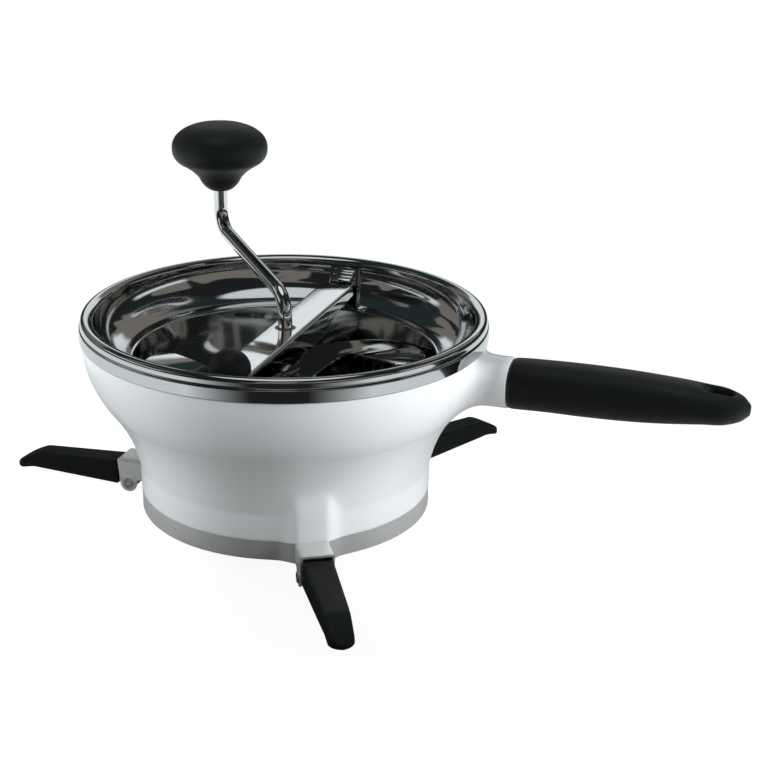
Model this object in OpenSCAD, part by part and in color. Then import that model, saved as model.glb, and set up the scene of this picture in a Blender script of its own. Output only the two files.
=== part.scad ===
// Food mill: a steel bowl in a moulded casing, with a cranked blade over a
// grinding disc, a fixed side handle and three folding legs.
// Origin: bowl axis at the underside of the base ring. +X runs along the
// handle, the crossbar lies along Y, +Z is up. Millimetres.

/* [Bowl] */
// Outside diameter of the rolled rim
rim_d = 228; // [226:0.5:230]
// Height of the rim above the base ring's underside
bowl_h = 114.3; // [113.8:0.1:114.8]
// Inside diameter of the mouth
mouth_d = 212; // [210:0.5:213]
// Diameter where the rounded wall meets the lower cone
crease_d = 170; // [168:0.5:172]
// Height of that crease
crease_z = 89.5; // [88.5:0.5:90]
// Thickness of the pressed bowl
sheet_t = 0.9; // [0.8:0.1:1]
// Wall of the moulded casing
casing_t = 2.6; // [2.4:0.1:2.8]

/* [Base] */
// Outside diameter of the base ring
ring_d = 165; // [164:0.5:166]
// Height of the base ring
ring_h = 11; // [10.8:0.1:11.2]
// Hole diameter in the grinding disc
disc_hole_d = 5; // [3:0.5:6]
// Distance between neighbouring disc holes
disc_pitch = 12; // [11:0.5:14]

/* [Crossbar] */
// Width of the bar
bar_w = 20.6; // [18:0.1:21]
// Height of the bar's top face
bar_z = 103.5; // [103.2:0.1:103.8]
// Depth of the bar's side flanges at the middle
bar_deep = 16; // [15:0.5:16.5]
// Diameter of the release knob
release_d = 22; // [20:0.2:24]
// Travel of the release knob
release_travel = 6; // [4:0.5:6]

/* [Crank] */
// Diameter of the crank rod
rod_d = 8; // [8:0.1:8.2]
// Distance from the bowl axis to the knob axis
crank_r = 101; // [96:1:104]
// Direction of the crank arm at rest, from the handle
crank_angle = 133.3; // [110:0.1:150]
// Widest diameter of the knob
knob_d = 57; // [54:0.5:60]
// Height of the blade's raised leading edges
blade_top = 84; // [78:1:84]

/* [Handle] */
// Distance from the bowl axis to the tip of the handle
handle_tip_x = 259; // [255:1:263]
// Height of the handle's centre line
handle_z = 88.4; // [87.5:0.1:89]
// Width of the grip
grip_w = 31; // [29:0.5:32]
// Thickness of the grip
grip_h = 27; // [26:0.5:28]

/* [Legs] */
// Distance from the bowl axis to the leg hinge
hinge_r = 97; // [96.5:0.1:97.5]
// Height of the leg hinge
hinge_z = -2.7; // [-2.8:0.1:-2.6]
// Distance from the bowl axis to the tip of a leg
leg_tip_r = 174; // [170:1:176]
// Diameter of the hinge pin
leg_pin_d = 4; // [3.6:0.2:4.2]

/* [Hidden] */
$fn = 96;

fit = 0.06;                       // running clearance on a radius
gap = 0.15;                       // clearance between separate pieces
rim_r = rim_d / 2;
mouth_r = mouth_d / 2;
mouth_z = bowl_h - 2.8;
crease_r = crease_d / 2;
seam_z = bowl_h - 12.5;           // lower edge of the rim band
ring_r = ring_d / 2;
ring_t = 1.6;
seat_r = 71.2;                    // inside radius round the disc
seat_z = 15;                      // top of the lip that carries the disc
lip_r = 66;
disc_t = 1.2;
disc_top = seat_z + disc_t;
rod_r = rod_d / 2;
bend_r = 14;                      // centre-line radius of the rod's bends
arm_low_z = 121.6;                // where the arm's line meets the shaft's
arm_high_z = 137;                 // where it meets the knob post's
knob_z = 160;                     // underside of the knob
knob_h = 40;
post_top_z = 190;
shaft_foot_z = 10;
hub_pin_z = 40;
hub_pin_r = 1.5;
hub_r = 8.9;
hub_top_z = 62;                   // top of the hub's spring flange
washer_z = hub_top_z + 0.1;
washer_t = 1.2;
seat_t = 1.1;
bar_under = bar_z - bar_deep;     // lowest edge of the bar's flanges
screw_x = 75;                     // base screws, from the bowl axis
screw_y = 9;
screw_r = 1.2;
flange_z = seat_z - sheet_t - gap; // top of the base ring's inner flange
leg_angles = [60, 180, 300];
bracket_w = 18.4;
plate_t = 1.2;
bracket_top = ring_h - 1.4;
bracket_end_r = 103.5;
lobe_w = 36;
clip_w = 19;
socket_x = 130.8;                 // where the casing's socket ends and the grip begins
handle_screw_x = 122;
clip_rivet_z = 102.6;

function polar(r, a) = [r * cos(a), r * sin(a)];
function arc(cx, cy, rx, ry, a0, a1, n) = [for (i = [0:n])
    let (a = a0 + (a1 - a0) * i / n) [cx + rx * cos(a), cy + ry * sin(a)]];
function bezier(p, q, r, n) = [for (i = [0:n])
    let (t = i / n) (1 - t) * (1 - t) * p + 2 * t * (1 - t) * q + t * t * r];

// Casing outline from the seam down: a rounded bowl, then a flowing skirt.
function casing_outline(inset) = concat(
    arc(rim_r - 99 - inset, seam_z - 0.3, 98, 74, 0, -32, 10),
    bezier([rim_r - 15.9 - inset, 62], [rim_r - 27.5 - inset, 46], [ring_r + 0.3 - inset, 26], 8),
    [[ring_r + 0.1 - inset, ring_h + gap]]);

// Children's Z axis laid along Y, at height z.
module along_y(x, z) { translate([x, 0, z]) rotate([90, 0, 0]) children(); }

module each_leg(i) { rotate([0, 0, leg_angles[i - 1]]) children(); }

module leg_lobe(h) {
    linear_extrude(h) polygon([[68, -lobe_w / 2], [80.5, -lobe_w / 2 + 1], [87.5, -9], [87.5, 9],
        [80.5, lobe_w / 2 - 1], [68, lobe_w / 2]]);
}

// A bar along X with a rounded rectangular section.
module rounded_bar(x0, x1, w, h, r) {
    translate([x0, 0, 0]) rotate([90, 0, 90]) linear_extrude(x1 - x0) union() {
        square([w - 2 * r, h], center = true);
        square([w, h - 2 * r], center = true);
        for (sx = [-1, 1], sy = [-1, 1]) translate([sx * (w / 2 - r), sy * (h / 2 - r)]) circle(r);
    }
}

module outer_casing() {
    color("white") difference() {
        union() {
            rotate_extrude($fn = 180) polygon(concat(
                casing_outline(0), [[ring_r - casing_t, ring_h + gap]],
                [for (i = [len(casing_outline(0)) - 2:-1:1]) casing_outline(casing_t)[i]],
                [[rim_r - 4.2, bowl_h - 7], [rim_r - 1.4, bowl_h - 7], [rim_r - 1.4, seam_z - 0.3]]));
            // fairings over the three legs
            for (i = [1:3]) each_leg(i) difference() {
                translate([0, 0, ring_h + gap]) leg_lobe(36);
                translate([0, 0, ring_h + gap]) cylinder(r = ring_r - casing_t, h = 60);
                translate([0, 0, ring_h + gap - 1]) linear_extrude(30) polygon([[70, -13], [79, -13],
                    [85, -6.5], [85, 6.5], [79, 13], [70, 13]]);
            }
            // bosses for the base screws, each with a rib to the wall
            for (i = [1:3], s = [-1, 1]) each_leg(i) translate([screw_x, s * screw_y, flange_z + 0.1]) {
                cylinder(r = 2.7, h = 8);
                translate([0, -1.5, 0]) cube([6, 3, 8]);
            }
            // socket that carries the handle
            difference() {
                translate([0, 0, handle_z - 0.8]) rounded_bar(96, socket_x, grip_w - 1, grip_h - 0.4, 12.9);
                rotate_extrude($fn = 180) polygon(concat([[0, 40]], [[0, 112]], [[rim_r - 4.2, 112]],
                    [for (i = [1:len(casing_outline(0)) - 2]) casing_outline(casing_t)[i]], [[0, 26]]));
            }
        }
        // cavity and screw hole for the handle core
        translate([100, -8.1, handle_z - 8.6]) cube([40, 16.2, 16.2]);
        translate([handle_screw_x, 0, handle_z - 20]) cylinder(r = 1.7, h = 14);
        for (i = [1:3], s = [-1, 1]) each_leg(i)
            translate([screw_x, s * screw_y, ring_h]) cylinder(r = screw_r + 0.03, h = 9);
    }
}

module inner_bowl() {
    color("silver") difference() {
        bowl_wall();
        translate([0, 110, clip_rivet_z]) rotate([90, 0, 0]) cylinder(r = 1.5, h = 10);
        translate([0, -100, clip_rivet_z + 3]) rotate([90, 0, 0]) cylinder(r = 1.5, h = 10);
    }
}

module bowl_wall() {
    span_r = mouth_r - crease_r;
    span_z = mouth_z - crease_z;
    rotate_extrude($fn = 180) polygon(concat(
        [[lip_r, seat_z - sheet_t], [lip_r, seat_z], [seat_r, seat_z], [seat_r, seat_z + 6]],
        [[crease_r, crease_z]],
        [for (a = [10:10:90]) [crease_r + span_r * sin(a), crease_z + span_z * (1 - cos(a))]],
        arc(mouth_r + 2.8, mouth_z, 2.8, 2.8, 170, 90, 4),
        arc(rim_r - 4.4, bowl_h - 4.4, 4.4, 4.4, 90, 0, 6),
        [[rim_r, seam_z], [rim_r - sheet_t, seam_z], [rim_r - sheet_t, bowl_h - 6]],
        [for (a = [90:-10:20]) [crease_r + (span_r + sheet_t) * sin(a),
            crease_z - sheet_t + (span_z + sheet_t) * (1 - cos(a))]],
        [[crease_r + sheet_t, crease_z - sheet_t], [seat_r + sheet_t, seat_z + 6],
         [seat_r + sheet_t, seat_z - sheet_t]]));
}

module base_ring() {
    color("darkgray") difference() {
        union() {
            rotate([0, 0, 30]) rotate_extrude($fn = 180) polygon([[ring_r - ring_t, 0], [ring_r, 0], [ring_r, ring_h],
                [ring_r - casing_t - 0.4, ring_h], [ring_r - casing_t - 0.4, flange_z], [lip_r, flange_z],
                [lip_r, flange_z - 1.2], [ring_r - casing_t - 1.6, flange_z - 1.2],
                [ring_r - casing_t - 1.6, ring_h - 1.2], [ring_r - ring_t, ring_h - 1.2]]);
            for (i = [1:3]) each_leg(i) difference() {
                leg_lobe(ring_h);
                translate([0, 0, -1]) cylinder(r = ring_r - ring_t / 2, h = ring_h + 2);
            }
        }
        for (i = [1:3]) each_leg(i) {
            translate([ring_r - ring_t - 1, -bracket_w / 2 - 0.05, -1])
                cube([10, bracket_w + 0.1, bracket_top + 1.05]);
            for (s = [-1, 1]) translate([screw_x, s * screw_y, 0]) cylinder(r = screw_r + 0.2, h = 20);
        }
    }
}

// Screws that hold the ring's inner flange up against the casing.
module base_screws() {
    color("gray") for (i = [1:3], s = [-1, 1]) each_leg(i) translate([screw_x, s * screw_y, 0]) {
        translate([0, 0, flange_z - 2.9]) cylinder(r = 2.2, h = 1.6);
        translate([0, 0, flange_z - 1.4]) cylinder(r = screw_r, h = 7);
    }
}

module grinding_disc() {
    reach = floor(62 / disc_pitch);
    color("silver") difference() {
        translate([0, 0, seat_z + 0.02]) cylinder(r = seat_r - 0.3, h = disc_t);
        translate([0, 0, seat_z - 1]) cylinder(r = rod_r + fit, h = 4);
        for (i = [-reach:reach], j = [-reach:reach]) {
            x = (i + j / 2) * disc_pitch;
            y = j * disc_pitch * sin(60);
            if (norm([x, y]) > 11 && norm([x, y]) < 62)
                translate([x, y, seat_z - 1]) cylinder(r = disc_hole_d / 2, h = 4);
        }
    }
}

// Hook on the far wall that holds the bar's tongue down. Outline in Y and Z.
module far_clip() {
    color("silver") difference() {
        rotate([90, 0, 90]) linear_extrude(clip_w, center = true) polygon([[105.2, 110.2], [104.3, 110.2],
            [103.4, 107.1], [97, 107.3], [91, 105.6], [89.5, 104.2], [90.1, 103], [91.8, 104],
            [97, 105.8], [102.9, 105.3], [102.2, 102], [100.8, 99.5], [101.6, 99.1], [103.2, 102],
            [104.4, 105]]);
        along_y(0, clip_rivet_z) cylinder(r = 1.5, h = 240, center = true);
    }
}

// Keeper on the near wall that the latch bolt slides under.
module near_clip() {
    color("silver") difference() {
        rotate([90, 0, 90]) linear_extrude(clip_w, center = true) polygon([[-105.2, 110.2],
            [-104.3, 110.2], [-103.5, 105], [-101.5, 99.9], [-93, 99.8], [-93, 98.6],
            [-101, 98.6], [-101.4, 98.9], [-103.2, 102.6], [-104.4, 105]]);
        along_y(0, clip_rivet_z + 3) cylinder(r = 1.5, h = 240, center = true);
    }
}

module clip_rivet() {
    cylinder(r = 1.9, h = 0.8);
    cylinder(r = 1.45, h = 5.6);
    translate([0, 0, 5.4]) cylinder(r = 2.4, h = 0.8);
}

module clip_rivets() {
    color("lightgray") {
        translate([0, 100.5, clip_rivet_z]) rotate([-90, 0, 0]) clip_rivet();
        translate([0, -102.1, clip_rivet_z + 3]) rotate([90, 0, 0]) clip_rivet();
    }
}

module crossbar() {
    end_y = 88;
    under = bar_z - plate_t;
    color("silver") difference() {
        union() {
            translate([-bar_w / 2, -end_y, under]) cube([bar_w, 2 * end_y, plate_t]);
            for (s = [-1, 1]) translate([s * (bar_w - plate_t) / 2, 0, 0]) rotate([90, 0, 90])
                translate([0, 0, -plate_t / 2]) linear_extrude(plate_t) polygon([[-end_y, under + 0.2],
                    [-end_y, bar_z - 6], [-62, bar_z - 8], [-30, bar_z - bar_deep + 1],
                    [-16, bar_z - bar_deep], [16, bar_z - bar_deep], [30, bar_z - bar_deep + 1],
                    [62, bar_z - 8], [end_y, bar_z - 6], [end_y, under + 0.2]]);
            // tongue that steps down and slides under the far clip
            translate([-7, end_y - 0.4, under - 1.6]) cube([14, 1.6, plate_t + 1.6]);
            translate([-7, end_y - 0.4, under - 1.6]) cube([14, 11.4, plate_t]);
        }
        translate([0, 0, under - 5]) cylinder(r = 6, h = 10);
        // slot for the release knob's stem
        translate([-4.1, -84.2, under - 1]) cube([8.2, 8.4 + release_travel, 4]);
    }
}

module bar_bushing() {
    color("gray") difference() {
        union() {
            translate([0, 0, bar_z - 13]) cylinder(r = 5.98, h = 13.4);
            translate([0, 0, bar_z - plate_t - 1.32]) cylinder(r = 7, h = 1.3);
        }
        translate([0, 0, bar_z - 20]) cylinder(r = rod_r + fit, h = 30);
    }
}

module release_knob() {
    r = release_d / 2;
    color("black") translate([0, -80, 0]) union() {
        rotate_extrude() polygon(concat([[0, bar_z + 0.2], [r - 0.8, bar_z + 0.2], [r, bar_z + 1.4]],
            arc(0, bar_z + 3, r, 10.4, 0, 90, 10)));
        difference() {
            translate([-3.9, -3.9, bar_z - 5.2]) cube([7.8, 7.8, 6]);
            translate([0, 0, bar_z - 6]) cylinder(r = 1.2, h = 5);
        }
    }
}

module latch_bolt() {
    color("silver") difference() {
        translate([-6, -99, bar_z - 6.8]) cube([12, 27, 1.5]);
        translate([0, -80, bar_z - 8]) cylinder(r = 1.25, h = 4);
    }
}

module latch_screw() {
    color("gray") translate([0, -80, bar_z - 8]) union() {
        cylinder(r = 2.4, h = 1.15);
        cylinder(r = 1.18, h = 6);
    }
}

// Bend between a vertical shaft and the sloping arm, in the XZ plane.
slope = atan2(arm_high_z - arm_low_z, crank_r);
turn = 90 - slope;
cut = bend_r * tan(turn / 2);
bend_lap = 0.3;

// One bend of the rod, thinner by a hair so that the straight lengths lap over it.
module rod_bend(from) {
    rotate([90, 0, 0]) rotate([0, 0, from])
        rotate_extrude(angle = turn) translate([bend_r, 0]) circle(rod_r - 0.02);
}

module crank_rod() {
    arm_len = norm([crank_r, arm_high_z - arm_low_z]) - 2 * cut;
    color("silver") difference() {
        rotate([0, 0, crank_angle]) union() {
            translate([0, 0, shaft_foot_z])
                cylinder(r = rod_r, h = arm_low_z - cut - shaft_foot_z + bend_lap);
            translate([bend_r, 0, arm_low_z - cut]) rod_bend(180 - turn);
            translate([cut * cos(slope), 0, arm_low_z + cut * sin(slope)]) rotate([0, 90 - slope, 0])
                translate([0, 0, -bend_lap]) cylinder(r = rod_r, h = arm_len + 2 * bend_lap);
            translate([crank_r - bend_r, 0, arm_high_z + cut]) rod_bend(-turn);
            translate([crank_r, 0, arm_high_z + cut - bend_lap])
                cylinder(r = rod_r, h = post_top_z - arm_high_z - cut + bend_lap);
        }
        along_y(0, hub_pin_z) cylinder(r = hub_pin_r + 0.01, h = 30, center = true);
    }
}

module blade_hub() {
    color("silver") difference() {
        union() {
            translate([0, 0, disc_top + 0.5]) cylinder(r = hub_r, h = hub_top_z - disc_top - 0.5);
            translate([0, 0, hub_top_z - 2]) cylinder(r = 9.6, h = 2);
        }
        translate([0, 0, shaft_foot_z]) cylinder(r = rod_r + 0.01, h = hub_top_z);
        along_y(0, hub_pin_z) cylinder(r = hub_pin_r + 0.01, h = 30, center = true);
    }
}

module hub_pin() {
    color("gray") along_y(0, hub_pin_z) cylinder(r = hub_pin_r, h = 2 * hub_r - 0.2, center = true);
}

// Blade: two swept ramps. Each falls from a raised leading edge (u = 1) to the disc (u = 0).
blade_steps = 18;
function blade_z(u) = disc_top + 1 + (blade_top - disc_top - 1) * pow(u, 1.25);
function blade_r(u) = seat_r - 3.2 + 12.7 * u;
module ramp(start, sweep) {
    t = 1.1;
    ring = [for (i = [0:blade_steps]) let (u = 1 - i / blade_steps, a = start + sweep * i / blade_steps)
        [concat(polar(hub_r + 0.8, a), blade_z(u * 0.62)), concat(polar(blade_r(u), a), blade_z(u))]];
    pts = [for (i = [0:blade_steps]) each [ring[i][0], ring[i][1], ring[i][1] + [0, 0, t],
        ring[i][0] + [0, 0, t]]];
    faces = concat([[3, 2, 1, 0]], [[for (k = [0:3]) blade_steps * 4 + k]],
        [for (i = [0:blade_steps - 1], k = [0:3]) let (a = i * 4 + k, b = i * 4 + (k + 1) % 4)
            each [[b + 4, a + 4, a], [b, b + 4, a]]]);
    polyhedron(pts, faces);
}

module blade() {
    color("silver") union() {
        ramp(12, 170);
        ramp(192, 170);
        difference() {
            translate([0, 0, disc_top + 0.8]) cylinder(r = hub_r + 1.6, h = 39);
            translate([0, 0, disc_top]) cylinder(r = hub_r + 0.02, h = 42);
        }
    }
}

module pressure_spring() {
    turns = 4;
    wire = 1.1;
    r = 7.4;
    z0 = washer_z + washer_t + 0.05 + wire;
    z1 = bar_under - seat_t - 0.15 - wire;
    n = 20;
    rings = [for (i = [0:turns * n]) let (a = 360 * i / n) [for (k = [0:7]) let (b = 45 * k)
        [(r + wire * cos(b)) * cos(a), (r + wire * cos(b)) * sin(a),
         z0 + (z1 - z0) * i / (turns * n) + wire * sin(b)]]];
    last = turns * n;
    color("gray") polyhedron([for (g = rings) each g], concat(
        [[for (k = [0:7]) k]], [[for (k = [7:-1:0]) last * 8 + k]],
        [for (i = [0:last - 1], k = [0:7]) let (a = i * 8 + k, b = i * 8 + (k + 1) % 8)
            each [[a, a + 8, b + 8], [a, b + 8, b]]]));
}

module thrust_washer() {
    color("gray") difference() {
        translate([0, 0, washer_z]) cylinder(r = 9.4, h = washer_t);
        translate([0, 0, washer_z - 2]) cylinder(r = rod_r + fit, h = 6);
    }
}

// Plate between the spring and the bar's flanges.
module spring_seat() {
    color("gray") difference() {
        translate([0, 0, bar_under - seat_t - 0.05]) cylinder(r = bar_w / 2, h = seat_t);
        translate([0, 0, bar_under - 4]) cylinder(r = rod_r + 0.6, h = 6);
    }
}

module knob_grip() {
    r = knob_d / 2;
    color("black") translate(concat(polar(crank_r, crank_angle), 0)) difference() {
        rotate_extrude() polygon(concat(
            [[0, knob_z], [6.4, knob_z]],
            bezier([6.4, knob_z], [10.5, knob_z + 2], [12.6, knob_z + 6], 4),
            bezier([12.6, knob_z + 6], [16, knob_z + 11.5], [23, knob_z + 15.5], 4),
            bezier([23, knob_z + 15.5], [r, knob_z + 18.5], [r, knob_z + 25], 5),
            bezier([r, knob_z + 25], [r, knob_z + 35], [14, knob_z + knob_h - 1.2], 7),
            [[0, knob_z + knob_h]]));
        translate([0, 0, knob_z - 1]) cylinder(r = 5.5, h = post_top_z + 4 - knob_z);
    }
}

module knob_core() {
    color("dimgray") translate(concat(polar(crank_r, crank_angle), 0)) difference() {
        translate([0, 0, knob_z + 0.2]) cylinder(r = 5.45, h = 26);
        translate([0, 0, knob_z - 1]) cylinder(r = rod_r + fit, h = 30);
    }
}

// Push-on ring that keeps the knob on its post.
module knob_ring() {
    color("gray") translate(concat(polar(crank_r, crank_angle), 0)) difference() {
        translate([0, 0, knob_z + 26.5]) cylinder(r = 5.2, h = 1);
        translate([0, 0, knob_z + 20]) cylinder(r = rod_r + 0.01, h = 12);
    }
}

module handle_core() {
    color("dimgray") difference() {
        translate([112, -8, handle_z - 8.5]) cube([108, 16, 16]);
        translate([handle_screw_x, 0, handle_z - 12]) cylinder(r = 1.6, h = 6.5);
    }
}

module handle_screw() {
    color("gray") union() {
        translate([handle_screw_x, 0, handle_z - 14.4]) cylinder(r = 1.55, h = 8);
        translate([handle_screw_x, 0, handle_z - 15.4]) cylinder(r = 3, h = 1.2);
    }
}

module grip_slice(x, w, h, z) {
    translate([x, 0, z]) rotate([0, 90, 0]) linear_extrude(0.4) union() {
        square([h - 2 * (h / 2 - 1), w - 2 * (w / 2 - 1)], center = true);
        resize([h, w]) circle(10, $fn = 32);
    }
}

module handle_grip() {
    color("black") difference() {
        union() {
            hull() {
                grip_slice(socket_x + 0.2, grip_w - 2, grip_h - 1, handle_z - 0.9);
                grip_slice(150, grip_w - 0.6, grip_h - 0.4, handle_z - 0.2);
                grip_slice(175, grip_w, grip_h, handle_z);
                grip_slice(207, grip_w - 1, grip_h - 2.4, handle_z + 0.2);
                grip_slice(234, grip_w - 3, 19.4, handle_z + 0.5);
                grip_slice(248, grip_w - 8, 15.4, handle_z + 0.7);
                grip_slice(handle_tip_x - 4, grip_w - 17, 9.4, handle_z + 0.8);
                grip_slice(handle_tip_x - 0.5, 4, 4, handle_z + 0.8);
            }
        }
        translate([112, -8.05, handle_z - 8.55]) cube([108.1, 16.1, 16.1]);
        // hanging hole
        hull() for (x = [237, 246]) translate([x, 0, handle_z - 20]) cylinder(r = 4, h = 40);
    }
}

module bracket_outline() {
    polygon(concat([[84, bracket_top], [bracket_end_r, bracket_top], [bracket_end_r - 0.9, -2.6]],
        arc(hinge_r, hinge_z, 5.2, 5.2, 0, -170, 12), [[91, 0], [84, 0]]));
}

module leg_bracket(i) {
    color("silver") each_leg(i) difference() {
        union() {
            for (s = [-1, 1]) translate([0, s * (bracket_w - plate_t) / 2, 0]) rotate([90, 0, 0])
                translate([0, 0, -plate_t / 2]) linear_extrude(plate_t) bracket_outline();
            translate([84, -bracket_w / 2, bracket_top - plate_t])
                cube([bracket_end_r - 84, bracket_w, plate_t]);
        }
        translate([hinge_r, 20, hinge_z]) rotate([90, 0, 0]) cylinder(r = leg_pin_d / 2 + 0.02, h = 40);
        translate([86.4, 20, 4.4]) rotate([90, 0, 0]) cylinder(r = 1.3, h = 40);
    }
}

module leg_pin(i) {
    color("lightgray") each_leg(i) translate([hinge_r, 0, hinge_z]) rotate([90, 0, 0]) difference() {
        union() {
            translate([0, 0, -9.2]) cylinder(r = leg_pin_d / 2, h = 18.4);
            for (s = [-1, 1]) translate([0, 0, s * 9.7 - 0.5]) cylinder(r = 3.1, h = 1);
        }
        translate([0, 0, -12]) cylinder(r = 1.2, h = 24);
    }
}

// Rivets through the ring lobe and the tail of each bracket.
module bracket_rivets() {
    color("lightgray") for (i = [1:3]) each_leg(i) translate([86.4, 0, 4.4]) rotate([90, 0, 0])
        translate([0, 0, -9.2]) cylinder(r = 1.25, h = 18.4);
}

module leg_arm(i) {
    color("gray") each_leg(i) difference() {
        union() {
            translate([hinge_r, 0, hinge_z]) rotate([90, 0, 0]) translate([0, 0, -7.7])
                cylinder(r = 4, h = 15.4);
            translate([hinge_r, -7.7, hinge_z]) cube([6.4, 15.4, bracket_top - plate_t - 0.1 - hinge_z]);
            translate([hinge_r, -5.5, -1.4]) cube([66, 11, 5.6]);
        }
        translate([hinge_r, 20, hinge_z]) rotate([90, 0, 0]) cylinder(r = leg_pin_d / 2 + fit, h = 40);
        translate([90, -8, 3.2]) cube([hinge_r - 90 + 0.6, 16, 8]);
    }
}

module leg_cover(i) {
    root_r = bracket_end_r + 0.6;
    color("black") each_leg(i) difference() {
        intersection() {
            rotate([90, 0, 0]) translate([0, 0, -12]) linear_extrude(24) polygon(concat(
                [[root_r, -4.1], [root_r, 10], [156, 7.6]],
                bezier([156, 7.6], [165, 6.6], [leg_tip_r, -2], 6),
                [[leg_tip_r - 0.8, -4.1]]));
            linear_extrude(30, center = true) polygon(concat(
                [[root_r, -8.7], [150, -7.6]],
                arc(leg_tip_r - 6.9, 0, 6.9, 6.9, -80, 80, 12),
                [[150, 7.6], [root_r, 8.7]]));
        }
        translate([root_r - 1, -5.55, -1.45]) cube([hinge_r + 66.1 - root_r + 1, 11.1, 5.7]);
    }
}

outer_casing();
inner_bowl();
base_ring();
base_screws();
grinding_disc();
far_clip();
near_clip();
clip_rivets();
crossbar();
bar_bushing();
release_knob();
latch_bolt();
crank_rod();
blade_hub();
blade();
hub_pin();
pressure_spring();
spring_seat();
thrust_washer();
latch_screw();
knob_grip();
knob_core();
knob_ring();
handle_core();
handle_grip();
handle_screw();
bracket_rivets();
for (i = [1:3]) {
    leg_bracket(i);
    leg_arm(i);
    leg_cover(i);
    leg_pin(i);
}
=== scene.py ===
"""Food mill: the looks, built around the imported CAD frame.

Lengths are in millimetres in this script and become metres in make_mesh().
The frame's +X runs along the handle, the crossbar lies along Y, +Z is up.
"""

import math

import bmesh
import bpy
import numpy as np
from mathutils import Matrix, Vector


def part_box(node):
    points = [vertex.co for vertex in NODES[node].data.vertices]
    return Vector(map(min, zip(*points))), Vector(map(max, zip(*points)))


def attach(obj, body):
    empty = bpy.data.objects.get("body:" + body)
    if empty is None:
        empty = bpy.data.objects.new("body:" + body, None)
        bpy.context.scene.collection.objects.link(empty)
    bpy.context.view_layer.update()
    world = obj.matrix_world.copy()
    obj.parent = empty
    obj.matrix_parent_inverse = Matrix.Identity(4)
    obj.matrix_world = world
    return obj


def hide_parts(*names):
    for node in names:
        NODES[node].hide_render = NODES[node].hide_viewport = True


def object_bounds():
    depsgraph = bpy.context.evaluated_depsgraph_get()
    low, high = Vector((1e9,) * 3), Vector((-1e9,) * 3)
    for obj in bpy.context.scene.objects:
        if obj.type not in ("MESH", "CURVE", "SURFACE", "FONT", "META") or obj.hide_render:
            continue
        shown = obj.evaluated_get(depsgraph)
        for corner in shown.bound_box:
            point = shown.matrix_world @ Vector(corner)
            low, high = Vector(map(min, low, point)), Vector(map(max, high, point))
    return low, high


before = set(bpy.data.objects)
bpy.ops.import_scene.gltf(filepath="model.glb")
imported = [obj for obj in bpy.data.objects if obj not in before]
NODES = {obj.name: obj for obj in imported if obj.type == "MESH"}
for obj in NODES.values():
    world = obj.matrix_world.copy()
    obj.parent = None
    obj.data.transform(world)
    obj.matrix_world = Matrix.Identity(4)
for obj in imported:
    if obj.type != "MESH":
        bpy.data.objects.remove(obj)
cad_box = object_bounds()
MM = 0.001

# ---------------------------------------------------------------- driving sizes


def box_mm(node):
    """Lowest and highest corner of a CAD node, in millimetres."""
    lo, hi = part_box(node)
    return np.array(lo) / MM, np.array(hi) / MM


bowl_lo, bowl_hi = box_mm("inner_bowl")
RIM_R = bowl_hi[0]
RIM_TOP = bowl_hi[2]
SEAT_UNDER = bowl_lo[2]
SHEET = 0.9
SEAT_Z = SEAT_UNDER + SHEET
CONE_Z = SEAT_Z + 6  # where the bowl's cone starts
SEAM_Z = RIM_TOP - 12.5
MOUTH_R = RIM_R - 8
CREASE_R, CREASE_Z = 85.0, 89.5
SEAT_R, LIP_R = 71.2, 66.0
RING_R = 82.5
RING_H = box_mm("base_ring")[1][2]
CASING_FOOT = box_mm("outer_casing")[0][2]
LEG_ANGLES = (60, 180, 300)
BAR_HI = box_mm("crossbar")[1]
BAR_Z = BAR_HI[2]
BAR_W = 2 * BAR_HI[0]
ROD_R = 4.0
ARM_LOW_Z, ARM_HIGH_Z = 121.6, 137.0
ROD_BEND_R = 14.0
POST_TOP = box_mm("crank_rod")[1][2]
KNOB_LO, KNOB_HI = box_mm("knob_grip")
KNOB_XY = (KNOB_LO[:2] + KNOB_HI[:2]) / 2
CRANK_R = float(np.hypot(*KNOB_XY))
CRANK_ANGLE = math.atan2(KNOB_XY[1], KNOB_XY[0])
KNOB_Z = KNOB_LO[2]
KNOB_TOP = KNOB_HI[2]
KNOB_R = (KNOB_HI[0] - KNOB_LO[0]) / 2
GRIP_LO, GRIP_HI = box_mm("handle_grip")
GRIP_W = GRIP_HI[1] - GRIP_LO[1]
GRIP_H = GRIP_HI[2] - GRIP_LO[2]
HANDLE_Z = (GRIP_HI[2] + GRIP_LO[2]) / 2
GRIP_X0, GRIP_X1 = GRIP_LO[0], GRIP_HI[0]
FIT, TIGHT = 0.06, 0.02  # gaps that a skin leaves round the rod or the hub
HINGE_R, HINGE_Z = 97.0, -2.7
BRACKET_END = 103.5
BRACKET_TOP = RING_H - 1.4
LEG_TIP = -box_mm("leg_cover_2")[0][0]

# ---------------------------------------------------------------- mesh helpers


def make_mesh(name, verts, faces, sharp=35.0):
    """A mesh object from millimetre points, smooth except at edges over `sharp` degrees."""
    mesh = bpy.data.meshes.new(name)
    mesh.from_pydata([tuple(float(c) * MM for c in v) for v in verts], [], [tuple(f) for f in faces])
    bm = bmesh.new()
    bm.from_mesh(mesh)
    bmesh.ops.remove_doubles(bm, verts=bm.verts, dist=1e-6)
    bmesh.ops.recalc_face_normals(bm, faces=bm.faces)
    bm.to_mesh(mesh)
    bm.free()
    shade(mesh, sharp)
    piece = bpy.data.objects.new(name, mesh)
    bpy.context.scene.collection.objects.link(piece)
    return piece


def shade(mesh, sharp):
    mesh.polygons.foreach_set("use_smooth", [True] * len(mesh.polygons))
    mesh.set_sharp_from_angle(angle=math.radians(sharp))


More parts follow.
